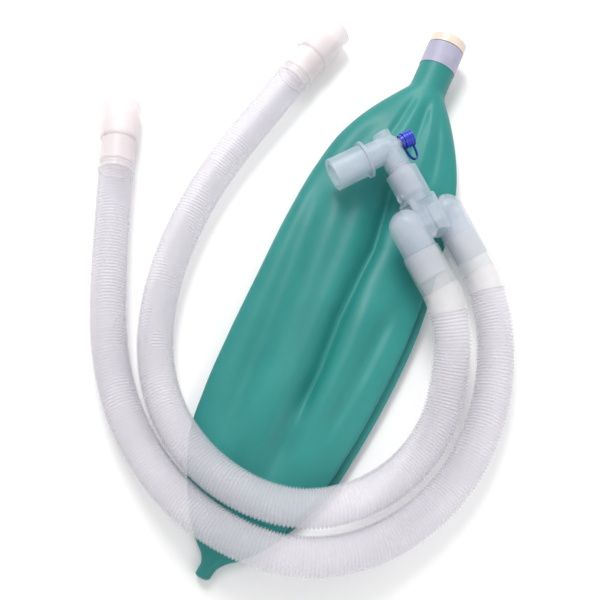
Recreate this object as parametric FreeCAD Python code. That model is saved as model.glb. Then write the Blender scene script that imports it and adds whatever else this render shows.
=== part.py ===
import FreeCAD, Part

import math
import os

from FreeCAD import Vector

# Adult anaesthesia breathing circuit: two corrugated hoses, a parallel Y-piece, an elbow with a
# capped sampling port, and a separate reservoir bag lying under the circuit.
# Millimetres. +Z is up, the origin is on the table under the middle of the bag and Y-piece,
# and +Y runs along the bag from its tail to its neck.

# ---- driving dimensions -----------------------------------------------------------------------
CONE_22 = 11.0            # radius of a 22 mm male connector, drawn as a cylinder
CONE_15 = 7.65            # radius of a 15 mm male connector
FIT = 0.05                # radial clearance of a push fit or swivel
SKIN = 0.01               # depth that tools run past a face they cut

# reservoir bag, lying on the table
BAG_X = -14.5             # the bag's long axis
BAG_WALL = 1.4
BAG_POINTS = 20           # points round one cross-section
# y, sideways drift, half width, height, roundness exponent, and how far the top leans down
# towards +X, where the Y-piece presses on the bag
BAG_SECTIONS = [
    (-188, 0.0, 15.0, 8.0, 2.1, 0.0),
    (-176, 0.5, 25.0, 10.0, 2.1, 0.0),
    (-155, 1.0, 38.5, 14.0, 2.1, 0.0),
    (-132, 1.0, 48.5, 17.0, 2.2, 0.0),
    (-100, 2.0, 54.0, 20.0, 2.2, 0.0),
    (-60, 3.5, 57.0, 22.5, 2.3, 0.0),
    (-15, 4.5, 58.0, 24.5, 2.3, 0.15),
    (35, 3.0, 56.0, 25.5, 2.3, 0.34),
    (75, 1.5, 51.5, 25.5, 2.3, 0.36),
    (105, 0.5, 44.5, 27.0, 2.3, 0.24),
    (128, 0.0, 34.5, 27.5, 2.2, 0.05),
    (148, 0.0, 22.5, 27.0, 2.1, 0.0),
    (162, 0.0, 14.5, 26.5, 2.0, 0.0),
]
CAVITY_START = -176       # the tail below this section is solid
SEAM_Z = 12.0             # height of the seam between the bag's upper and lower wall
SEAM_START = -140.0       # where the upper wall starts, past the tail pocket
NECK_SEAM = 150.0         # where the two walls meet the neck
NECK_WALL = 0.95
TAIL_NIPPLE = (-206.5, 4.5, 24.0, 0.6)    # end of the tail, radius, length and lift
NECK_BASE = Vector(BAG_X, 160, 13.3)
NECK_TILT = 10.0          # degrees that the neck rises towards its mouth
NECK_R = 13.2
NECK_LENGTH = 38.0        # rubber neck, from NECK_BASE to the bush's flange
BUSH_FLANGE = 7.0         # length of the cream end ring
BUSH_SLEEVE = 30.0        # length of the bush inside the neck
BUSH_WALL = 1.15
BUSH_EDGE = 0.8           # chamfer at the bush's mouth
BAND = (21.0, 16.5)       # start along the neck and length of the lilac band
BAND_R = 13.6

# hoses
HOSE_R = 12.2
HOSE_WALL = 0.9
HOSE_RUN_SHARE = 0.45     # share of the shorter run that a bend's tangent takes
COLLAR_R = 12.6
COLLAR_LENGTH = 15.0
COLLAR_BEND = 16.0        # degrees that a hose end turns just behind its patient cuff
COLLAR_BORE = HOSE_R - HOSE_WALL - 1.2    # bore of everything that a hose is fixed in
GROOVE_R = 0.6            # section radius of every grip groove
GROOVE_LIFT = 0.25        # how far a groove's centre stands off the surface that it cuts

# machine-end cuffs: wide socket, then a narrower grip with its ring collar
SOCKET_LENGTH = 30.0
SOCKET_R = 13.4
SOCKET_DEPTH = 26.0
GRIP_LENGTH = 17.0
GRIP_R = 11.9
CUFF_COLLAR_LENGTH = 7.0
CUFF_EDGE = 0.8           # rounding of the socket's mouth and shoulder
CUFF_Z = 13.5
CUFF_A_MOUTH = Vector(-212.1, 63.4, CUFF_Z)
CUFF_A_HEADING = -67.4    # degrees, from the mouth towards the hose
CUFF_B_MOUTH = Vector(-96.9, 184.6, CUFF_Z)
CUFF_B_HEADING = -102.9

# Y-piece: its own frame has +Z out of the patient socket and +X towards the arm of hose B
Y_MOUTH = Vector(-5.2, 80.0, 43.5)
Y_HEADING = 142.0
Y_SLOPE = 10.0
Y_ROLL = 25.0
Y_SOCKET_LENGTH = 24.0
Y_SOCKET_R = 11.0
ARM_OFFSET = 19.0
ARM_R = 11.5
ARM_TOP = 36.0            # below the mouth: centre of each arm's domed shoulder
ARM_END = 54.0            # below the mouth: shoulder that the cuff stops at
ARM_SPIGOT = 18.0
ARM_BORE = 9.3
WEB = (20.5, 50.0)        # start and end below the mouth of the flat web between the arms
WEB_HALF = 12.0
WEB_THICK = 14.0
WEB_EDGE = 2.0
PANEL = (-9.5, 2.5, 29.0, 48.5)           # raised blank panel: x from, x to, z from, z to
PANEL_HEIGHT = 1.3
PANEL_EDGE = 0.9
ARCH_R = 7.0              # rounded gap between the two arms
ARCH_DROP = 3.0           # its centre below the web's end
DUCT = (23.0, 40.0)       # start and end below the mouth of the cross duct
DUCT_HALF = 5.0
SOCKET_15_DEPTH = 17.0    # depth of the Y-piece's 15 mm socket
STUB_R = 2.6              # blank stub on the side of the patient socket
STUB_END = 12.8
STUB_DEPTH = 17.0
PATIENT_CUFF = (54.6, 81.5)   # start and end below the mouth
PATIENT_CUFF_R = 12.5
CUFF_SEAT_GAP = 1.0       # space left past the end of each arm's spigot
CUFF_GROOVES = (1.6, 20.4, 23.0, 25.6)    # from the cuff's upper end

# elbow: its own frame has its origin where the leg and outlet axes cross, +Z up the leg
# axis of the Y-piece and +X out of the outlet
ELBOW_RISE = 18.0         # crossing of the axes above the Y-piece's mouth
ELBOW_R = 9.0
LEG_R = 8.4
LEG_END = 12.4
SPIGOT_R = 6.15
SPIGOT_LENGTH = 14.0
SPIGOT_WALL = 1.2
SLEEVE_DEPTH = 16.0       # swivel sleeve inside the Y-piece's socket
SLEEVE_COLLAR_R = 8.5
LEG_GAP = 0.1             # between the elbow's leg and the sleeve's collar
OUTLET_END = 42.0
OUTLET_START = 19.0
OUTLET_FLANGE = (12.8, 2.0)
OUTLET_WALL = 1.8
OUTLET_BORE_DEPTH = 17.0
BOSS = (6.25, 11.4)       # blank boss on the leg: radius and height above the outlet axis
PORT_R = 3.2
PORT_END = 15.0
PORT_BORE = 2.1
RING = (9.3, 11.2, 5.0)   # retaining ring: start, end and radius, measured along the port
CAP = (11.6, 18.0, 5.7)   # the same for the cap
CAP_GROOVES = (1.6, 3.5, 5.4)             # from the cap's skirt
PLUG_GAP = 0.5            # the cap's plug starts this far inside the skirt
STRAP = (3.0, 1.1)        # width and thickness of the cap's strap
STRAP_ROUTE = [           # x and z in the elbow's frame, from the ring to the cap
    (-10.3, -5.05), (-10.2, -9.0), (-11.4, -14.0), (-14.4, -14.6), (-16.2, -10.6), (-16.4, -6.05),
]

# route of each hose from its machine-end cuff to its patient cuff: x, y, z
ROUTE_A = [
    (-174.5, -24.5, 12.7), (-157.5, -61.5, 12.4), (-138.5, -97.5, 12.4), (-113.5, -129.5, 13.0),
    (-82.0, -154.5, 16.0), (-46.0, -171.0, 24.5), (-8.0, -177.5, 31.0), (30.0, -173.5, 31.0),
    (63.0, -155.5, 22.5), (88.5, -126.5, 14.0), (104.0, -93.0, 12.4), (109.0, -57.0, 12.4),
    (105.0, -21.5, 12.8), (94.5, 8.5, 15.0), (87.0, 22.0, 17.0),
]
ROUTE_B = [
    (-117.0, 95.5, 12.8), (-125.0, 56.5, 12.4), (-129.0, 17.0, 12.4), (-127.5, -23.0, 12.4),
    (-120.0, -61.5, 12.4), (-104.5, -97.0, 14.0), (-77.5, -127.5, 21.0), (-42.0, -146.5, 31.0),
    (-4.5, -152.0, 35.5), (29.0, -144.5, 35.5), (56.0, -123.5, 26.5), (74.0, -95.0, 15.5),
    (81.5, -62.0, 13.0), (76.5, -31.5, 18.5), (68.5, -8.0, 28.0),
]


# ---- frames and small helpers -----------------------------------------------------------------
def frame_of(origin, x_axis, z_axis):
    """Placement whose +X and +Z run along the two axes."""
    y_axis = z_axis.cross(x_axis)
    return FreeCAD.Placement(FreeCAD.Matrix(
        x_axis.x, y_axis.x, z_axis.x, origin.x,
        x_axis.y, y_axis.y, z_axis.y, origin.y,
        x_axis.z, y_axis.z, z_axis.z, origin.z,
        0, 0, 0, 1,
    ))


def along(heading, slope=0.0):
    """Unit vector at a compass heading in the table plane, rising by slope degrees."""
    level = math.cos(math.radians(slope))
    return Vector(
        level * math.cos(math.radians(heading)),
        level * math.sin(math.radians(heading)),
        math.sin(math.radians(slope)),
    )


def turned(vector, axis, degrees):
    return FreeCAD.Rotation(axis, degrees).multVec(vector)


def rod(radius, start, end, x=0.0, y=0.0):
    """Cylinder along local Z between two heights."""
    return Part.makeCylinder(radius, end - start, Vector(x, y, start))


def rod_x(radius, start, end):
    """Cylinder along local X between two stations."""
    return Part.makeCylinder(radius, end - start, Vector(start, 0, 0), Vector(1, 0, 0))


def turned_solid(outline):
    """Solid of revolution about local Z from a closed outline of (radius, height) points."""
    points = [Vector(radius, 0, height) for radius, height in outline]
    face = Part.Face(Part.makePolygon(points + points[:1]))
    return face.revolve(Vector(0, 0, 0), Vector(0, 0, 1), 360)


def box(low, high):
    size = Vector(*high) - Vector(*low)
    return Part.makeBox(size.x, size.y, size.z, Vector(*low))


def placed(shape, placement):
    moved = shape.copy()
    moved.Placement = placement.multiply(shape.Placement)
    return moved


Y_AXIS = along(Y_HEADING, Y_SLOPE)
OUTLET_AXIS = along(Y_HEADING + 90)
Y_FRAME = frame_of(Y_MOUTH, turned(OUTLET_AXIS, Y_AXIS, Y_ROLL), Y_AXIS)
ELBOW_ORIGIN = Y_MOUTH + Y_AXIS * ELBOW_RISE
ELBOW_FRAME = frame_of(ELBOW_ORIGIN, OUTLET_AXIS, Y_AXIS)
NECK_FRAME = frame_of(NECK_BASE, Vector(1, 0, 0), along(90, NECK_TILT))


# ---- reservoir bag ----------------------------------------------------------------------------
def bag_section(y, drift, half_width, height, roundness, lean, inset=0.0):
    """Closed pillow-shaped wire across the bag, resting on the table."""
    power = 2.0 / roundness
    points = []
    for i in range(BAG_POINTS):
        angle = 2 * math.pi * i / BAG_POINTS
        side = math.copysign(abs(math.cos(angle)) ** power, math.cos(angle))
        rise = math.copysign(abs(math.sin(angle)) ** power, math.sin(angle))
        points.append(Vector(
            BAG_X + drift + (half_width - inset) * side,
            y,
            (height / 2 + (height / 2 - inset) * rise) * (1 - lean * max(rise, 0) * side),
        ))
    curve = Part.BSplineCurve()
    curve.interpolate(points, PeriodicFlag=True)
    return Part.Wire(curve.toShape())


def bag_walls():
    """Thin rubber bag, open at the neck and closed at the tail nipple, cut at its seams."""
    outer = Part.makeLoft([bag_section(*row) for row in BAG_SECTIONS], True)
    hollow_rows = [row for row in BAG_SECTIONS if row[0] >= CAVITY_START]
    inner = Part.makeLoft([bag_section(*row, inset=BAG_WALL) for row in hollow_rows], True)
    tip, tip_r, length, lift = TAIL_NIPPLE
    nipple = Part.makeCylinder(tip_r, length, Vector(BAG_X, tip, tip_r + lift), Vector(0, 1, 0))
    neck = placed(rod(NECK_R, 0, NECK_LENGTH), NECK_FRAME)
    bore = placed(rod(NECK_R - NECK_WALL, -BAG_WALL * 4, NECK_LENGTH + SKIN), NECK_FRAME)
    shell = outer.fuse(nipple).fuse(neck).cut(inner).cut(bore)
    reach = 2 * NECK_SEAM
    neck_zone = box((-reach, NECK_SEAM, -reach), (reach, reach, reach))
    upper_zone = box((-reach, SEAM_START, SEAM_Z), (reach, NECK_SEAM, reach))
    return {
        "bag_upper_wall": shell.common(upper_zone).Solids[0],
        "bag_lower_wall": shell.cut(neck_zone).cut(upper_zone).Solids[0],
        "bag_neck": shell.common(neck_zone).Solids[0],
    }


def bag_neck_bush():
    """Cream connector bush: a flange at the mouth and a sleeve inside the rubber neck."""
    bore = CONE_22 + FIT
    sleeve_r = bore + BUSH_WALL
    end = NECK_LENGTH + BUSH_FLANGE
    outline = [
        (bore, NECK_LENGTH - BUSH_SLEEVE), (sleeve_r, NECK_LENGTH - BUSH_SLEEVE),
        (sleeve_r, NECK_LENGTH + FIT), (BAND_R, NECK_LENGTH + FIT),
        (BAND_R, end - BUSH_EDGE), (BAND_R - BUSH_EDGE, end), (bore, end),
    ]
    return placed(turned_solid(outline), NECK_FRAME)


def bag_neck_band():
    start, length = BAND
    ring = rod(BAND_R, start, start + length).cut(rod(NECK_R, start - 1, start + length + 1))
    return placed(ring, NECK_FRAME)


# ---- hoses and cuffs --------------------------------------------------------------------------
def rounded_route(points, name):
    """Straight runs joined by tangent arcs, and the tightest radius, which is printed."""
    edges = []
    radii = []
    here = points[0]
    for before, corner, after in zip(points, points[1:], points[2:]):
        incoming = (corner - before).normalize()
        outgoing = (after - corner).normalize()
        half_turn = incoming.getAngle(outgoing) / 2
        tangent = HOSE_RUN_SHARE * min((corner - before).Length, (after - corner).Length)
        radius = tangent / math.tan(half_turn)
        radii.append(radius)
        start = corner - incoming * tangent
        end = corner + outgoing * tangent
        inward = (outgoing - incoming).normalize()
        middle = corner + inward * (radius / math.cos(half_turn) - radius)
        edges.append(Part.LineSegment(here, start).toShape())
        edges.append(Part.Arc(start, middle, end).toShape())
        here = end
    edges.append(Part.LineSegment(here, points[-1]).toShape())
    wire = Part.Wire(edges)
    print(name, "length", round(wire.Length, 1), "radii", [round(r) for r in radii])
    return wire


def swept_tube(wire, outer_r, inner_r):
    """Round tube of constant wall along a wire."""
    start = wire.OrderedVertexes[0].Point
    heading = wire.OrderedEdges[0].tangentAt(wire.OrderedEdges[0].FirstParameter)
    pipes = []
    for radius in (outer_r, inner_r):
        circle = Part.Wire(Part.makeCircle(radius, start, heading))
        pipes.append(wire.makePipeShell([circle], True, False))
    return pipes[0].cut(pipes[1])


def hose(name, start, route, end):
    points = [start] + [Vector(*point) for point in route] + [end]
    wire = rounded_route(points, name)
    tube = swept_tube(wire, HOSE_R, HOSE_R - HOSE_WALL)
    section = math.pi * (HOSE_R ** 2 - (HOSE_R - HOSE_WALL) ** 2)
    print(name, "volume / (section x length)", round(tube.Volume / (section * wire.Length), 4))
    return tube


def machine_cuff(frame):
    """Soft wide socket with a narrower grip behind it."""
    bore = CONE_22 + FIT
    end = SOCKET_LENGTH + GRIP_LENGTH
    edge = CUFF_EDGE
    outline = [
        (bore + edge * 0.75, 0), (SOCKET_R - edge, 0), (SOCKET_R, edge),
        (SOCKET_R, SOCKET_LENGTH - edge * 1.5), (SOCKET_R - edge, SOCKET_LENGTH),
        (GRIP_R, SOCKET_LENGTH), (GRIP_R, end), (COLLAR_BORE, end), (COLLAR_BORE, SOCKET_DEPTH),
        (bore, SOCKET_DEPTH), (bore, edge * 0.75),
    ]
    return placed(turned_solid(outline), frame)


def grooved_ring(radius, bore, start, end, grooves):
    """Collar with round-bottomed grip grooves."""
    ring = rod(radius, start, end).cut(rod(bore, start - 1, end + 1))
    spacing = (end - start) / (grooves + 1)
    for i in range(grooves):
        height = start + spacing * (i + 1)
        ring = ring.cut(Part.makeTorus(radius + GROOVE_LIFT, GROOVE_R, Vector(0, 0, height)))
    return ring


def machine_collar(frame):
    start = SOCKET_LENGTH + GRIP_LENGTH
    ring = grooved_ring(COLLAR_R, COLLAR_BORE, start, start + CUFF_COLLAR_LENGTH, 2)
    return placed(ring, frame)


def patient_cuff(side):
    """Cuff pushed on one arm of the Y-piece, with grip rings at its hose end."""
    start, end = PATIENT_CUFF
    x = side * ARM_OFFSET
    seat = ARM_END + ARM_SPIGOT + CUFF_SEAT_GAP
    cuff = rod(PATIENT_CUFF_R, -end, -start, x)
    cuff = cuff.cut(rod(CONE_22 + FIT, -seat, -start + 1, x))
    cuff = cuff.cut(rod(COLLAR_BORE, -end - 1, -seat + 1, x))
    for depth in CUFF_GROOVES:
        place = Vector(x, 0, -start - depth)
        cuff = cuff.cut(Part.makeTorus(PATIENT_CUFF_R + GROOVE_LIFT, GROOVE_R, place))
    return placed(cuff, Y_FRAME)


def hose_end(side, towards):
    """Smooth bent sleeve behind a patient cuff, and the point where its hose ends."""
    start = Y_FRAME.multVec(Vector(side * ARM_OFFSET, 0, -PATIENT_CUFF[1]))
    heading = Y_AXIS * -1
    axis = heading.cross(towards - start).normalize()
    radius = COLLAR_LENGTH / math.radians(COLLAR_BEND)
    centre = start + axis.cross(heading) * radius
    middle = centre + turned(start - centre, axis, COLLAR_BEND / 2)
    end = centre + turned(start - centre, axis, COLLAR_BEND)
    wire = Part.Wire(Part.Arc(start, middle, end).toShape())
    sleeve = swept_tube(wire, COLLAR_R, COLLAR_BORE)
    return sleeve, end


# ---- Y-piece ----------------------------------------------------------------------------------
def y_piece():
    """Parallel Y: patient socket, manifold with a flat web, and two arms with cuff spigots."""
    web_start, web_end = WEB
    panel_from, panel_to, panel_start, panel_end = PANEL
    solid = rod(Y_SOCKET_R, -Y_SOCKET_LENGTH, 0)
    front = WEB_THICK / 2
    web = box((-WEB_HALF, -front, -web_end), (WEB_HALF, front, -web_start))
    web = web.makeFillet(WEB_EDGE, web.Edges)
    panel = box((panel_from, front - 1, -panel_end), (panel_to, front + PANEL_HEIGHT, -panel_start))
    panel = panel.makeFillet(PANEL_EDGE, panel.Edges)
    stub = Part.makeCylinder(STUB_R, STUB_END, Vector(0, 0, -STUB_DEPTH), Vector(1, 0, 0))
    solid = solid.fuse([web, panel, stub])
    duct_start, duct_end = DUCT
    duct = box((-ARM_OFFSET, -DUCT_HALF, -duct_end), (ARM_OFFSET, DUCT_HALF, -duct_start))
    duct = duct.fuse([
        rod(CONE_15 + FIT, -SOCKET_15_DEPTH, SKIN),
        rod(SPIGOT_R, -duct_end + DUCT_HALF, -SOCKET_15_DEPTH + 1),
    ])
    for side in (-1, 1):
        x = side * ARM_OFFSET
        solid = solid.fuse([
            Part.makeSphere(ARM_R, Vector(x, 0, -ARM_TOP)),
            rod(ARM_R, -ARM_END, -ARM_TOP, x),
            rod(CONE_22, -ARM_END - ARM_SPIGOT, -ARM_END + 1, x),
        ])
        duct = duct.fuse([
            Part.makeSphere(ARM_BORE, Vector(x, 0, -ARM_TOP)),
            rod(ARM_BORE, -ARM_END - ARM_SPIGOT - 1, -ARM_TOP, x),
        ])
    arch_place = Vector(0, -WEB_THICK, -web_end - ARCH_DROP)
    arch = Part.makeCylinder(ARCH_R, WEB_THICK * 2, arch_place, Vector(0, 1, 0))
    return placed(solid.cut(duct).cut(arch).removeSplitter(), Y_FRAME)


# ---- elbow, swivel sleeve and sampling port ---------------------------------------------------
def swivel_sleeve():
    """15 mm male sleeve in the Y-piece's socket, with a grooved collar above it."""
    sleeve = rod(CONE_15, -ELBOW_RISE - SLEEVE_DEPTH, -ELBOW_RISE + 1)
    start = -ELBOW_RISE + 2 * LEG_GAP
    collar = grooved_ring(SLEEVE_COLLAR_R, SPIGOT_R, start, -LEG_END - LEG_GAP, 2)
    bore = rod(SPIGOT_R + FIT, -ELBOW_RISE - SLEEVE_DEPTH - 1, -LEG_END + 1)
    return placed(sleeve.fuse(collar).cut(bore), ELBOW_FRAME)


def elbow():
    """Right-angle elbow: leg, rounded corner, 22 mm outlet with a stop flange, luer port."""
    flange_r, flange_t = OUTLET_FLANGE
    boss_r, boss_top = BOSS
    solid = Part.makeSphere(ELBOW_R).fuse([
        rod(LEG_R, -LEG_END, 0),
        rod(SPIGOT_R, -LEG_END - SPIGOT_LENGTH, 0),
        rod_x(ELBOW_R, 0, OUTLET_START),
        rod_x(flange_r, OUTLET_START - flange_t, OUTLET_START),
        rod_x(CONE_22, OUTLET_START, OUTLET_END),
        rod(boss_r, 0, boss_top),
        rod_x(PORT_R, -PORT_END, 0),
    ])
    leg_bore = SPIGOT_R - SPIGOT_WALL
    passage = Part.makeSphere(leg_bore).fuse([
        rod(leg_bore, -LEG_END - SPIGOT_LENGTH - 1, 0),
        rod_x(ELBOW_R - OUTLET_WALL, 0, OUTLET_END),
        rod_x(CONE_15 + FIT, OUTLET_END - OUTLET_BORE_DEPTH, OUTLET_END + 1),
        rod_x(PORT_BORE, -PORT_END - 1, 0),
    ])
    return placed(solid.cut(passage).removeSplitter(), ELBOW_FRAME)


def cap_ring():
    start, end, radius = RING
    ring = rod_x(radius, -end, -start).cut(rod_x(PORT_R + FIT, -end - 1, -start + 1))
    return placed(ring, ELBOW_FRAME)


def port_cap():
    """Push-on luer cap: grooved skirt over the port and a plug inside its bore."""
    start, end, radius = CAP
    cap = rod_x(radius, -end, -start)
    cap = cap.cut(rod_x(PORT_R + FIT, -PORT_END - 6 * FIT, -start + 1))
    for depth in CAP_GROOVES:
        place = Vector(-start - depth, 0, 0)
        cap = cap.cut(Part.makeTorus(radius + GROOVE_LIFT, GROOVE_R, place, Vector(1, 0, 0)))
    plug = rod_x(PORT_BORE - FIT, -end + 1, -start - PLUG_GAP)
    return placed(cap.fuse(plug), ELBOW_FRAME)


def cap_strap():
    """Flat strap that loops from the ring's edge down beside the leg and back to the cap."""
    width, thick = STRAP
    route = [Vector(x, 0, z) for x, z in STRAP_ROUTE]
    curve = Part.BSplineCurve()
    curve.interpolate(route)
    spine = Part.Wire(curve.toShape())
    section = Part.makePlane(thick, width, route[0] - Vector(thick / 2, width / 2, 0)).OuterWire
    return placed(spine.makePipeShell([section], True, False), ELBOW_FRAME)


# ---- assembly ---------------------------------------------------------------------------------
def build():
    frame_a = frame_of(CUFF_A_MOUTH, Vector(0, 0, 1), along(CUFF_A_HEADING))
    frame_b = frame_of(CUFF_B_MOUTH, Vector(0, 0, 1), along(CUFF_B_HEADING))
    cuff_length = SOCKET_LENGTH + GRIP_LENGTH + CUFF_COLLAR_LENGTH
    end_a, point_a = hose_end(-1, Vector(*ROUTE_A[-1]))
    end_b, point_b = hose_end(1, Vector(*ROUTE_B[-1]))
    return {
        **bag_walls(),
        "bag_neck_band": bag_neck_band(),
        "bag_neck_bush": bag_neck_bush(),
        "hose_a": hose("hose_a", frame_a.multVec(Vector(0, 0, cuff_length)), ROUTE_A, point_a),
        "hose_b": hose("hose_b", frame_b.multVec(Vector(0, 0, cuff_length)), ROUTE_B, point_b),
        "machine_cuff_a": machine_cuff(frame_a),
        "machine_cuff_b": machine_cuff(frame_b),
        "machine_collar_a": machine_collar(frame_a),
        "machine_collar_b": machine_collar(frame_b),
        "patient_cuff_a": patient_cuff(-1),
        "patient_cuff_b": patient_cuff(1),
        "patient_collar_a": end_a,
        "patient_collar_b": end_b,
        "y_piece": y_piece(),
        "swivel_sleeve": swivel_sleeve(),
        "elbow": elbow(),
        "cap_ring": cap_ring(),
        "port_cap": port_cap(),
        "cap_strap": cap_strap(),
    }


os.makedirs("parts", exist_ok=True)
for node, shape in build().items():
    volume = round(shape.Volume / 1000, 2)
    print(node, "solids", len(shape.Solids), "valid", shape.isValid(), "cm3", volume)
    shape.exportStep(os.path.join("parts", node + ".step"))
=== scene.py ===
import math

import bpy
import numpy as np
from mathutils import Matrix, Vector


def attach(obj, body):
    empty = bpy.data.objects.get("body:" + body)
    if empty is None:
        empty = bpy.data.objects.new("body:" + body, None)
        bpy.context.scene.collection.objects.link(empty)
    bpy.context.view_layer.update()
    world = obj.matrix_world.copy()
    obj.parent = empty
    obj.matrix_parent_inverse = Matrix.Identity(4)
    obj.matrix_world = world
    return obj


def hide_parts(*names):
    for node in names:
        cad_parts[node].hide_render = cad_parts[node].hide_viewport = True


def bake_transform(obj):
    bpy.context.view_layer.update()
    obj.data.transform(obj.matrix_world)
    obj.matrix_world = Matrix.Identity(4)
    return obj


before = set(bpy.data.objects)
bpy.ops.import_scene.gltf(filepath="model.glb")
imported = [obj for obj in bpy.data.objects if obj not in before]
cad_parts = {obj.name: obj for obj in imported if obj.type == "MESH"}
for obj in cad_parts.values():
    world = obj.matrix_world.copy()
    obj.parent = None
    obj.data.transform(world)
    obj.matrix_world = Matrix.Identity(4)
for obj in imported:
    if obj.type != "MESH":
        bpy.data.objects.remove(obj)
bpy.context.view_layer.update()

# Metres, +Z up, in the CAD model's own frame. The bag's sculpting tables are in millimetres.
MM = 0.001

# ---- camera and light ---------------------------------------------------------------------------
CAMERA_PLACE = (0.0365, -0.1776, 0.544)
CAMERA_TARGET = (-0.0357, -0.0163, 0.0)
CAMERA_LENS = 50
SKY_STRENGTH = 0.70
# name, place, disk diameter, watts and colour of each lamp; both aim at the origin
LAMPS = [
    ("key", (-0.55, 0.75, 1.15), 0.6, 14.5, (1.0, 0.99, 0.97)),
    ("fill", (0.9, -0.3, 0.9), 0.8, 2.4, (0.97, 0.98, 1.0)),
]
FLOOR_SIZE = 3.0

# ---- hoses --------------------------------------------------------------------------------------
HOSE_MEAN_R = 0.01168             # radius halfway between a rib's crest and its root
RIB_DEPTH = 0.00056               # crests and roots lie this far from the mean radius
RIB_PITCH = 0.00225
RINGS_PER_RIB = 6
HOSE_SIDES = 40
HOSE_WALL = 0.0007
CURVE_STEPS = 24                  # points between two control points of a route
# control points from the machine collar to the patient collar
ROUTE_A = [
    (-0.19135, 0.01355, 0.0135),
    (-0.1745, -0.0245, 0.0127), (-0.1575, -0.0615, 0.0124), (-0.1385, -0.0975, 0.0124),
    (-0.1135, -0.1295, 0.0130), (-0.0820, -0.1545, 0.0160), (-0.0460, -0.1710, 0.0245),
    (-0.0080, -0.1775, 0.0310), (0.0300, -0.1735, 0.0310), (0.0630, -0.1555, 0.0225),
    (0.0885, -0.1265, 0.0140), (0.1040, -0.0930, 0.0124), (0.1090, -0.0570, 0.0124),
    (0.1050, -0.0215, 0.0128), (0.0945, 0.0085, 0.0150), (0.0870, 0.0220, 0.0170),
    (0.0778, 0.03438, 0.01912),
]
ROUTE_B = [
    (-0.10896, 0.13196, 0.0135),
    (-0.1170, 0.0955, 0.0128), (-0.1250, 0.0565, 0.0124), (-0.1290, 0.0170, 0.0124),
    (-0.1275, -0.0230, 0.0124), (-0.1200, -0.0615, 0.0124), (-0.1045, -0.0970, 0.0140),
    (-0.0775, -0.1275, 0.0210), (-0.0420, -0.1465, 0.0310), (-0.0045, -0.1520, 0.0355),
    (0.0290, -0.1445, 0.0355), (0.0560, -0.1235, 0.0265), (0.0740, -0.0950, 0.0155),
    (0.0815, -0.0620, 0.0130), (0.0765, -0.0315, 0.0185), (0.0685, -0.0080, 0.0280),
    (0.05878, 0.00586, 0.03368),
]

# ---- reservoir bag, in millimetres --------------------------------------------------------------
BAG_X = -14.5                     # middle line, which the sideways drift is measured from
BAG_ROWS = 300
BAG_COLUMNS = 220
BAG_THICKNESS = 0.9
ROW_CROWDING = 0.03               # shifts rows towards the bag's two ends, as a share of its length
# y, sideways drift, half width, height, roundness exponent, lean of the top towards +X
BAG_SECTIONS = [
    (-206.5, -2.6, 2.6, 5.6, 2.0, 0.0),
    (-205.6, -2.5, 4.2, 8.6, 2.0, 0.0),
    (-203.0, -2.2, 4.9, 9.4, 2.0, 0.0),
    (-198.0, -1.4, 5.4, 9.2, 2.0, 0.0),
    (-193.0, -0.6, 8.8, 8.6, 2.0, 0.0),
    (-188.0, 0.0, 15.0, 8.6, 2.1, 0.0),
    (-176.0, 0.5, 26.0, 10.0, 2.1, 0.0),
    (-155.0, 1.0, 38.5, 14.0, 2.1, 0.0),
    (-132.0, 1.0, 48.5, 17.0, 2.2, 0.0),
    (-100.0, 2.0, 54.0, 20.0, 2.2, 0.0),
    (-60.0, 3.5, 57.0, 22.5, 2.3, 0.0),
    (-15.0, 4.5, 58.0, 24.5, 2.3, 0.15),
    (35.0, 3.0, 56.0, 25.5, 2.3, 0.34),
    (75.0, 1.5, 51.5, 25.5, 2.3, 0.36),
    (105.0, 0.5, 44.5, 27.0, 2.3, 0.24),
    (128.0, 0.0, 34.5, 27.5, 2.2, 0.05),
    (148.0, 0.0, 22.5, 27.0, 2.1, 0.0),
    (156.5, 0.0, 16.4, 27.2, 2.0, 0.0),
]
NECK_BASE = (-14.5, 160.0, 13.3)
NECK_TILT = 10.0
# distance along the neck and radius
NECK_PROFILE = [(0.4, 14.2), (1.8, 13.9), (3.2, 13.45), (6.0, 13.25), (20.0, 13.2), (37.9, 13.2)]

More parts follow.
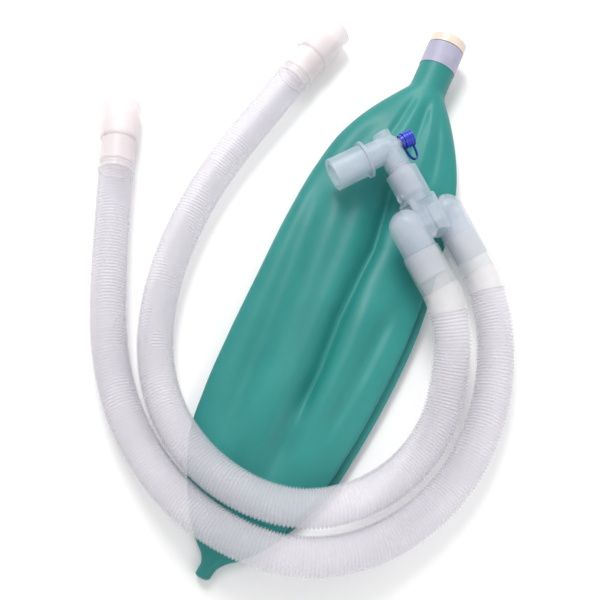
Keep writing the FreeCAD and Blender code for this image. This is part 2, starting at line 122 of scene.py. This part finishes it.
# Folds pressed into the bag's top: width, height (negative for a valley), the distance over which
# the fold fades at its ends, and the x, y points of its line.
FOLDS = [
    # long valley down the middle, and the sharp crease at its bottom
    (8.0, -4.5, 24.0, [(-11.0, 88.0), (-6.0, 57.0), (-3.0, 32.0), (-4.0, 10.0), (-4.6, -24.0),
                       (-2.5, -60.0), (-3.5, -92.0), (-5.0, -124.0)]),
    (3.4, -4.2, 20.0, [(-10.0, 84.0), (-6.0, 57.0), (-3.0, 32.0), (-4.0, 10.0), (-4.6, -24.0),
                       (-2.5, -60.0), (-3.0, -80.0)]),
    # ridges and hollows to its left
    (7.0, 2.6, 34.0, [(-21.0, 60.0), (-16.5, 18.0), (-15.0, -30.0), (-15.0, -92.0)]),
    (8.0, 1.6, 34.0, [(-34.0, 50.0), (-31.0, 0.0), (-28.0, -50.0), (-26.0, -92.0)]),
    (8.0, -3.4, 50.0, [(-52.0, 62.0), (-50.0, 20.0), (-47.0, -20.0), (-43.0, -100.0)]),
    # ridge and hollow to its right
    (8.0, 1.6, 30.0, [(10.0, -8.0), (11.0, -40.0), (9.0, -90.0)]),
    (7.0, -2.8, 26.0, [(27.0, -8.0), (25.0, -50.0), (20.0, -90.0)]),
    # hollow in the left shoulder
    (8.0, -2.6, 24.0, [(-34.0, 118.0), (-40.0, 96.0), (-44.0, 74.0)]),
    # folds that fan out from the neck, from left to right
    (2.8, -1.3, 18.0, [(-20.0, 146.0), (-22.0, 128.0), (-25.0, 108.0)]),
    (3.2, 1.2, 18.0, [(-14.5, 146.0), (-15.5, 128.0), (-17.0, 100.0)]),
    (3.0, -1.9, 20.0, [(-9.0, 146.0), (-7.5, 126.0), (-5.0, 92.0)]),
    (3.0, 1.2, 18.0, [(-3.5, 142.0), (1.0, 126.0), (5.0, 98.0)]),
    (3.0, -1.4, 18.0, [(2.5, 138.0), (9.0, 120.0), (14.0, 96.0)]),
]
# Places on a ring of the bag run from -1 at the floor to 1 at the top.
FOLD_START = (0.05, 0.75)         # the folds grow to their full height between these places
FOLD_EDGE = (6, 0.5)              # power and share that keep the folds off the side edges

# The right edge is folded in along its length.
GUSSET_SPAN = (-165.0, 38.0, 34.0)     # lower end, upper end and fade along the bag
GUSSET_SIDE = (0.3, 0.8)               # share of the half width over which it sets in
GUSSET_STEP = 5.6                      # how far the wall above the fold stands in
GUSSET_STEP_FOOT = (-0.34, -0.18)      # places between which the step sets in
GUSSET_STEP_TOP = (0.6, 1.0)           # places between which it dies out again
GUSSET_GROOVE = (5.5, -0.10, 0.14)     # size, place and width, as for the lip and the strip
GUSSET_LIP = (1.2, 0.34, 0.2)
GUSSET_STRIP = (4.0, -0.55, 0.22)

# ---- cap strap, in the elbow's frame, in millimetres --------------------------------------------
Y_MOUTH = (-5.2, 80.0, 43.5)      # middle of the Y-piece's open end
Y_HEADING = 142.0                 # direction the Y-piece points in, seen from above, in degrees
Y_SLOPE = 10.0                    # how far it points upwards, in degrees
ELBOW_RISE = 18.0                 # from that open end to where the elbow's two axes cross
STRAP_WIDTH = 3.0
STRAP_THICKNESS = 1.1
STRAP_SIDES = 16
STRAP_ROUNDING = 0.5              # power of its superellipse section
STRAP_STEP = 0.0002
# distances along the outlet's axis and along the leg's axis, from where they cross
STRAP_ROUTE = [
    (-10.3, -4.8), (-10.2, -9.0), (-11.4, -14.0), (-14.4, -14.6), (-16.2, -10.6), (-16.4, -5.8),
]


# ---- helpers ------------------------------------------------------------------------------------
def linked(thing, name):
    piece = bpy.data.objects.new(name, thing)
    bpy.context.scene.collection.objects.link(piece)
    return piece


def smooth_mesh(name, points, faces):
    mesh = bpy.data.meshes.new(name)
    mesh.from_pydata([tuple(point) for point in points], [], faces)
    mesh.polygons.foreach_set("use_smooth", [True] * len(mesh.polygons))
    mesh.update()
    return linked(mesh, name)


def smoothstep(low, high, value):
    share = np.clip((value - low) / (high - low), 0.0, 1.0)
    return share * share * (3.0 - 2.0 * share)


def grid_faces(rows, columns):
    """Quads of a grid whose columns close on themselves."""
    faces = []
    for row in range(rows - 1):
        for column in range(columns):
            after = (column + 1) % columns
            faces.append((
                row * columns + column, row * columns + after,
                (row + 1) * columns + after, (row + 1) * columns + column,
            ))
    return faces


def unit(vectors):
    return vectors / np.linalg.norm(vectors, axis=-1, keepdims=True)


# ---- camera, light and floor --------------------------------------------------------------------
def add_camera():
    data = bpy.data.cameras.new("camera")
    data.lens = CAMERA_LENS
    camera = linked(data, "camera")
    camera.location = CAMERA_PLACE
    view = Vector(CAMERA_TARGET) - Vector(CAMERA_PLACE)
    camera.rotation_euler = view.to_track_quat("-Z", "Y").to_euler()
    bpy.context.scene.camera = camera


def add_lamp(name, place, size, power, colour):
    data = bpy.data.lights.new(name, "AREA")
    data.shape = "DISK"
    data.size = size
    data.energy = power
    data.color = colour
    lamp = linked(data, name)
    lamp.location = place
    lamp.rotation_euler = (-Vector(place)).to_track_quat("-Z", "Y").to_euler()


def add_studio():
    world = bpy.data.worlds.new("studio")
    world.use_nodes = True
    background = world.node_tree.nodes["Background"]
    background.inputs["Color"].default_value = (1.0, 1.0, 1.0, 1.0)
    background.inputs["Strength"].default_value = SKY_STRENGTH
    bpy.context.scene.world = world
    for lamp in LAMPS:
        add_lamp(*lamp)
    bpy.context.scene.view_settings.view_transform = "Standard"
    half = FLOOR_SIZE / 2
    corners = [(-half, -half, 0.0), (half, -half, 0.0), (half, half, 0.0), (-half, half, 0.0)]
    floor = smooth_mesh("floor", corners, [(0, 1, 2, 3)])
    floor.data.materials.append(floor_material())


# ---- materials ----------------------------------------------------------------------------------
def new_material(name, roughness, **sockets):
    """A node material with its constants set on the Principled shader's own sockets."""
    material = bpy.data.materials.new(name)
    material.use_nodes = True
    shader = material.node_tree.nodes["Principled BSDF"]
    shader.inputs["Roughness"].default_value = roughness
    for socket, value in sockets.items():
        shader.inputs[socket.replace("_", " ")].default_value = value
    return material


def noise(material, scale, detail=3.0, stretch=(1.0, 1.0, 1.0)):
    """Factor output of a noise in the object's own coordinates."""
    nodes = material.node_tree.nodes
    links = material.node_tree.links
    place = nodes.new("ShaderNodeTexCoord")
    mapping = nodes.new("ShaderNodeMapping")
    mapping.inputs["Scale"].default_value = stretch
    texture = nodes.new("ShaderNodeTexNoise")
    texture.inputs["Scale"].default_value = scale
    texture.inputs["Detail"].default_value = detail
    links.new(place.outputs["Object"], mapping.inputs["Vector"])
    links.new(mapping.outputs["Vector"], texture.inputs["Vector"])
    return texture.outputs["Fac"]


def ramp(material, factor, low, high, start=0.35, end=0.65):
    """Colour that runs from low to high as the factor goes from start to end."""
    node = material.node_tree.nodes.new("ShaderNodeValToRGB")
    node.color_ramp.elements[0].position = start
    node.color_ramp.elements[0].color = (*low, 1.0)
    node.color_ramp.elements[1].position = end
    node.color_ramp.elements[1].color = (*high, 1.0)
    material.node_tree.links.new(factor, node.inputs["Fac"])
    return node.outputs["Color"]


def paint(material, colour):
    shader = material.node_tree.nodes["Principled BSDF"]
    material.node_tree.links.new(colour, shader.inputs["Base Color"])


def vary_roughness(material, factor, low, high):
    node = material.node_tree.nodes.new("ShaderNodeMapRange")
    node.inputs["To Min"].default_value = low
    node.inputs["To Max"].default_value = high
    links = material.node_tree.links
    links.new(factor, node.inputs["Value"])
    links.new(node.outputs["Result"], material.node_tree.nodes["Principled BSDF"].inputs["Roughness"])


def bump(material, height, distance, strength=1.0):
    node = material.node_tree.nodes.new("ShaderNodeBump")
    node.inputs["Distance"].default_value = distance
    node.inputs["Strength"].default_value = strength
    links = material.node_tree.links
    links.new(height, node.inputs["Height"])
    links.new(node.outputs["Normal"], material.node_tree.nodes["Principled BSDF"].inputs["Normal"])


def floor_material():
    material = new_material("floor_white", 0.9)
    paint(material, ramp(material, noise(material, 4.0), (0.93, 0.93, 0.93), (0.95, 0.95, 0.95)))
    return material


def rubber_material():
    """Semi-matte dipped rubber with faint mottling."""
    material = new_material("bag_rubber", 0.45, Specular_IOR_Level=0.35)
    mottling = noise(material, 28.0, 4.0, (1.0, 0.45, 1.0))
    paint(material, ramp(material, mottling, (0.017, 0.205, 0.190), (0.026, 0.255, 0.238)))
    vary_roughness(material, noise(material, 60.0), 0.38, 0.54)
    bump(material, noise(material, 900.0, 4.0), 0.00006, 0.5)
    return material


def band_material():
    material = new_material("band_lilac", 0.5)
    paint(material, ramp(material, noise(material, 90.0), (0.38, 0.375, 0.50), (0.45, 0.44, 0.57)))
    bump(material, noise(material, 700.0), 0.00005, 0.4)
    return material


def bush_material():
    material = new_material("bush_cream", 0.38, Subsurface_Weight=0.2, Subsurface_Scale=0.004)
    paint(material, ramp(material, noise(material, 70.0), (0.78, 0.64, 0.54), (0.85, 0.72, 0.63)))
    bump(material, noise(material, 500.0), 0.00004, 0.4)
    return material


def blue_material(name, low, high):
    material = new_material(name, 0.3, Coat_Weight=0.2, Coat_Roughness=0.2)
    paint(material, ramp(material, noise(material, 160.0), low, high))
    bump(material, noise(material, 900.0), 0.00003, 0.4)
    return material


def milky_material(name, colour_low, colour_high, roughness, alpha, scale):
    """Thin translucent polymer that lets through part of what lies behind it."""
    material = new_material(name, roughness, Alpha=alpha, IOR=1.4)
    paint(material, ramp(material, noise(material, scale), colour_low, colour_high))
    vary_roughness(material, noise(material, scale * 2), roughness - 0.06, roughness + 0.08)
    bump(material, noise(material, 600.0), 0.00004, 0.3)
    return material


# ---- hoses --------------------------------------------------------------------------------------
def spline_path(control):
    """Points along the smooth NURBS line of a route's control points."""
    curve = bpy.data.curves.new("route", "CURVE")
    curve.dimensions = "3D"
    curve.resolution_u = CURVE_STEPS
    spline = curve.splines.new("NURBS")
    spline.points.add(len(control) - 1)
    for point, place in zip(spline.points, control):
        point.co = (*place, 1.0)
    spline.order_u = 3
    spline.use_endpoint_u = True
    spline.resolution_u = CURVE_STEPS
    holder = linked(curve, "route")
    mesh = bpy.data.meshes.new_from_object(holder)
    path = np.array([vertex.co for vertex in mesh.vertices])
    bpy.data.objects.remove(holder)
    bpy.data.meshes.remove(mesh)
    return path


def stations(path, step):
    """The path again at even steps, with each point's distance along it."""
    walked = np.concatenate([[0.0], np.cumsum(np.linalg.norm(np.diff(path, axis=0), axis=1))])
    count = int(round(walked[-1] / step)) + 1
    where = np.linspace(0.0, walked[-1], count)
    return np.stack([np.interp(where, walked, path[:, k]) for k in range(3)], axis=1), where


def corrugated_hose(name, control):
    """Hollow ribbed tube with an outer and an inner wall, joined at its two ends."""
    path = spline_path(control)
    centres, where = stations(path, RIB_PITCH / RINGS_PER_RIB)
    heading = unit(np.gradient(centres, axis=0))
    side = unit(np.cross(heading, (0.0, 0.0, 1.0)))
    rise = np.cross(side, heading)
    angles = np.linspace(0.0, 2 * math.pi, HOSE_SIDES, endpoint=False)
    wave = np.cos(2 * math.pi * where / RIB_PITCH)
    outer = HOSE_MEAN_R + RIB_DEPTH * wave
    rings = np.concatenate([outer, (outer - HOSE_WALL)[::-1]])
    order = np.concatenate([np.arange(len(where)), np.arange(len(where))[::-1]])
    spokes = (side[order][:, None, :] * np.cos(angles)[None, :, None]
              + rise[order][:, None, :] * np.sin(angles)[None, :, None])
    points = centres[order][:, None, :] + spokes * rings[:, None, None]
    rows = len(order)
    faces = grid_faces(rows, HOSE_SIDES)
    last = (rows - 1) * HOSE_SIDES
    for column in range(HOSE_SIDES):
        after = (column + 1) % HOSE_SIDES
        faces.append((last + column, last + after, after, column))
    hose = smooth_mesh(name, points.reshape(-1, 3), faces)
    return hose, path


def add_hose(letter, control, material):
    node = "hose_" + letter
    hose, path = corrugated_hose("corrugated_" + node, control)
    hose.data.materials.append(material)
    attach(hose, "limbs")
    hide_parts(node)


# ---- reservoir bag ------------------------------------------------------------------------------
def section_values(y):
    """Each column of the section table at the heights y, along a smooth curve through its rows."""
    table = np.array(BAG_SECTIONS)
    known = table[:, 0]
    slopes = np.gradient(table[:, 1:], known, axis=0)
    row = np.clip(np.searchsorted(known, y) - 1, 0, len(known) - 2)
    span = known[row + 1] - known[row]
    t = ((y - known[row]) / span)[:, None]
    low, high = table[row, 1:], table[row + 1, 1:]
    low_slope = slopes[row] * span[:, None]
    high_slope = slopes[row + 1] * span[:, None]
    return (low * (2 * t ** 3 - 3 * t ** 2 + 1) + low_slope * (t ** 3 - 2 * t ** 2 + t)
            + high * (3 * t ** 2 - 2 * t ** 3) + high_slope * (t ** 3 - t ** 2))


def fold_height(x, y):
    """Height added to the bag's top at each point by all of the folds."""
    total = np.zeros_like(x)
    for width, height, fade, line in FOLDS:
        path = np.array(sorted(line, key=lambda point: point[1]))
        centre = np.interp(y, path[:, 1], path[:, 0])
        across = np.exp(-((x - centre) / width) ** 2)
        ends = smoothstep(path[0, 1] - fade, path[0, 1] + fade / 2, y)
        ends = ends * (1.0 - smoothstep(path[-1, 1] - fade / 2, path[-1, 1] + fade / 2, y))
        total += height * across * ends
    return total


def rounded(values, power):
    """Sines or cosines of a superellipse's ring."""
    return np.sign(values) * np.abs(values) ** power


def swell(place, size, centre, width):
    """Bell-shaped swelling round one place on the ring."""
    return size * np.exp(-((place - centre) / width) ** 2)


def gusset_shift(y, side, rise):
    """How far each point near the right edge moves in to make the folded edge."""
    low, high, fade = GUSSET_SPAN
    along = smoothstep(low - fade, low + fade, y) * (1.0 - smoothstep(high - fade, high + fade, y))
    step = GUSSET_STEP * smoothstep(*GUSSET_STEP_FOOT, rise) * (1.0 - smoothstep(*GUSSET_STEP_TOP, rise))
    inward = step + swell(rise, *GUSSET_GROOVE) - swell(rise, *GUSSET_LIP) - swell(rise, *GUSSET_STRIP)
    return along * smoothstep(*GUSSET_SIDE, side) * inward


def bag_rings():
    """Rings of points from the tail's tip to the shoulder, sculpted with folds and the gusset."""
    share = np.linspace(0.0, 1.0, BAG_ROWS)
    start, end = BAG_SECTIONS[0][0], BAG_SECTIONS[-1][0]
    y = start + (end - start) * (share - ROW_CROWDING * np.sin(2 * math.pi * share))
    drift, half, height, roundness, lean = [column[:, None] for column in section_values(y).T]
    angle = np.linspace(0.0, 2 * math.pi, BAG_COLUMNS, endpoint=False)[None, :]
    side = rounded(np.cos(angle), 2.0 / roundness)
    rise = rounded(np.sin(angle), 2.0 / roundness)
    x = BAG_X + drift + half * side
    y = np.broadcast_to(y[:, None], x.shape)
    z = height / 2 * (1.0 + rise) * (1.0 - lean * np.maximum(rise, 0.0) * side)
    power, edge = FOLD_EDGE
    folded = smoothstep(*FOLD_START, rise) * smoothstep(0.0, edge, 1.0 - np.abs(side) ** power)
    z = z + fold_height(x, y) * folded
    return np.stack([x - gusset_shift(y, side, rise), y, z], axis=2)


def neck_rings():
    tilt = math.radians(NECK_TILT)
    forward = np.array([0.0, math.cos(tilt), math.sin(tilt)])
    upward = np.array([0.0, -math.sin(tilt), math.cos(tilt)])
    angle = np.linspace(0.0, 2 * math.pi, BAG_COLUMNS, endpoint=False)[:, None]
    spoke = np.cos(angle) * np.array([[1.0, 0.0, 0.0]]) + np.sin(angle) * upward
    return np.stack([np.array(NECK_BASE) + forward * along + spoke * radius
                     for along, radius in NECK_PROFILE])


def add_bag():
    rings = np.concatenate([bag_rings(), neck_rings()]) * MM
    points = rings.reshape(-1, 3)
    faces = [face[::-1] for face in grid_faces(len(rings), BAG_COLUMNS)]
    faces.append(tuple(range(BAG_COLUMNS)))
    bag = smooth_mesh("reservoir_bag", points, faces)
    wall = bag.modifiers.new("wall", "SOLIDIFY")
    wall.thickness = BAG_THICKNESS * MM
    wall.offset = -1.0
    bag.data.materials.append(rubber_material())
    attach(bag, "bag")
    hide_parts("bag_upper_wall", "bag_lower_wall", "bag_neck")


# ---- cap strap ----------------------------------------------------------------------------------
def elbow_axes():
    """Origin, outlet axis and leg axis of the elbow, in millimetres."""
    heading = math.radians(Y_HEADING)
    slope = math.radians(Y_SLOPE)
    leg = np.array([math.cos(slope) * math.cos(heading), math.cos(slope) * math.sin(heading),
                    math.sin(slope)])
    outlet = np.array([-math.sin(heading), math.cos(heading), 0.0])
    return np.array(Y_MOUTH) + leg * ELBOW_RISE, outlet, leg


def add_strap(material):
    """Flat strap with rounded edges along a smooth loop from the ring to the cap."""
    origin, outlet, leg = elbow_axes()
    control = [tuple((origin + outlet * x + leg * z) * MM) for x, z in STRAP_ROUTE]
    centres, _ = stations(spline_path(control), STRAP_STEP)
    heading = unit(np.gradient(centres, axis=0))
    across = unit(np.cross(leg, outlet))
    normal = np.cross(heading, across)
    angle = np.linspace(0.0, 2 * math.pi, STRAP_SIDES, endpoint=False)[None, :, None]
    wide = STRAP_WIDTH * MM / 2 * rounded(np.cos(angle), STRAP_ROUNDING)
    high = STRAP_THICKNESS * MM / 2 * rounded(np.sin(angle), STRAP_ROUNDING)
    points = centres[:, None, :] + across * wide + normal[:, None, :] * high
    faces = grid_faces(len(centres), STRAP_SIDES)
    faces.append(tuple(range(STRAP_SIDES))[::-1])
    faces.append(tuple(range((len(centres) - 1) * STRAP_SIDES, len(centres) * STRAP_SIDES)))
    strap = smooth_mesh("tether_strap", points.reshape(-1, 3), faces)
    strap.data.materials.append(material)
    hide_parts("cap_strap")
    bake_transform(strap)


# ---- carried-over CAD nodes ---------------------------------------------------------------------
def finish_node(name, material):
    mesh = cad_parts[name].data
    mesh.materials.clear()
    mesh.materials.append(material)


def add_finishes(blue):
    clear = milky_material("cuff_clear", (0.76, 0.78, 0.82), (0.86, 0.86, 0.90), 0.26, 0.26, 40.0)
    white = milky_material("cuff_white", (0.84, 0.76, 0.78), (0.92, 0.86, 0.88), 0.36, 0.55, 40.0)
    sleeve = milky_material("sleeve_white", (0.88, 0.86, 0.88), (0.95, 0.93, 0.95), 0.25, 0.34, 40.0)
    frosted = milky_material("frosted_clear", (0.56, 0.62, 0.72), (0.70, 0.75, 0.84), 0.28, 0.38, 55.0)
    for name in ("machine_cuff_a", "machine_cuff_b"):
        finish_node(name, white)
    for name in ("patient_cuff_a", "patient_cuff_b"):
        finish_node(name, clear)
    for name in ("machine_collar_a", "machine_collar_b", "patient_collar_a", "patient_collar_b"):
        finish_node(name, sleeve)
    for name in ("y_piece", "swivel_sleeve", "elbow"):
        finish_node(name, frosted)
    for name in ("cap_ring", "port_cap"):
        finish_node(name, blue)
    finish_node("bag_neck_band", band_material())
    finish_node("bag_neck_bush", bush_material())


add_camera()
hose_plastic = milky_material("hose_clear", (0.90, 0.87, 0.94), (0.96, 0.93, 0.99), 0.32, 0.26, 30.0)
add_hose("a", ROUTE_A, hose_plastic)
add_hose("b", ROUTE_B, hose_plastic)
add_bag()
cap_plastic = blue_material("cap_blue", (0.012, 0.026, 0.42), (0.022, 0.046, 0.58))
add_strap(blue_material("strap_blue", (0.005, 0.011, 0.20), (0.009, 0.018, 0.29)))
add_finishes(cap_plastic)
add_studio()
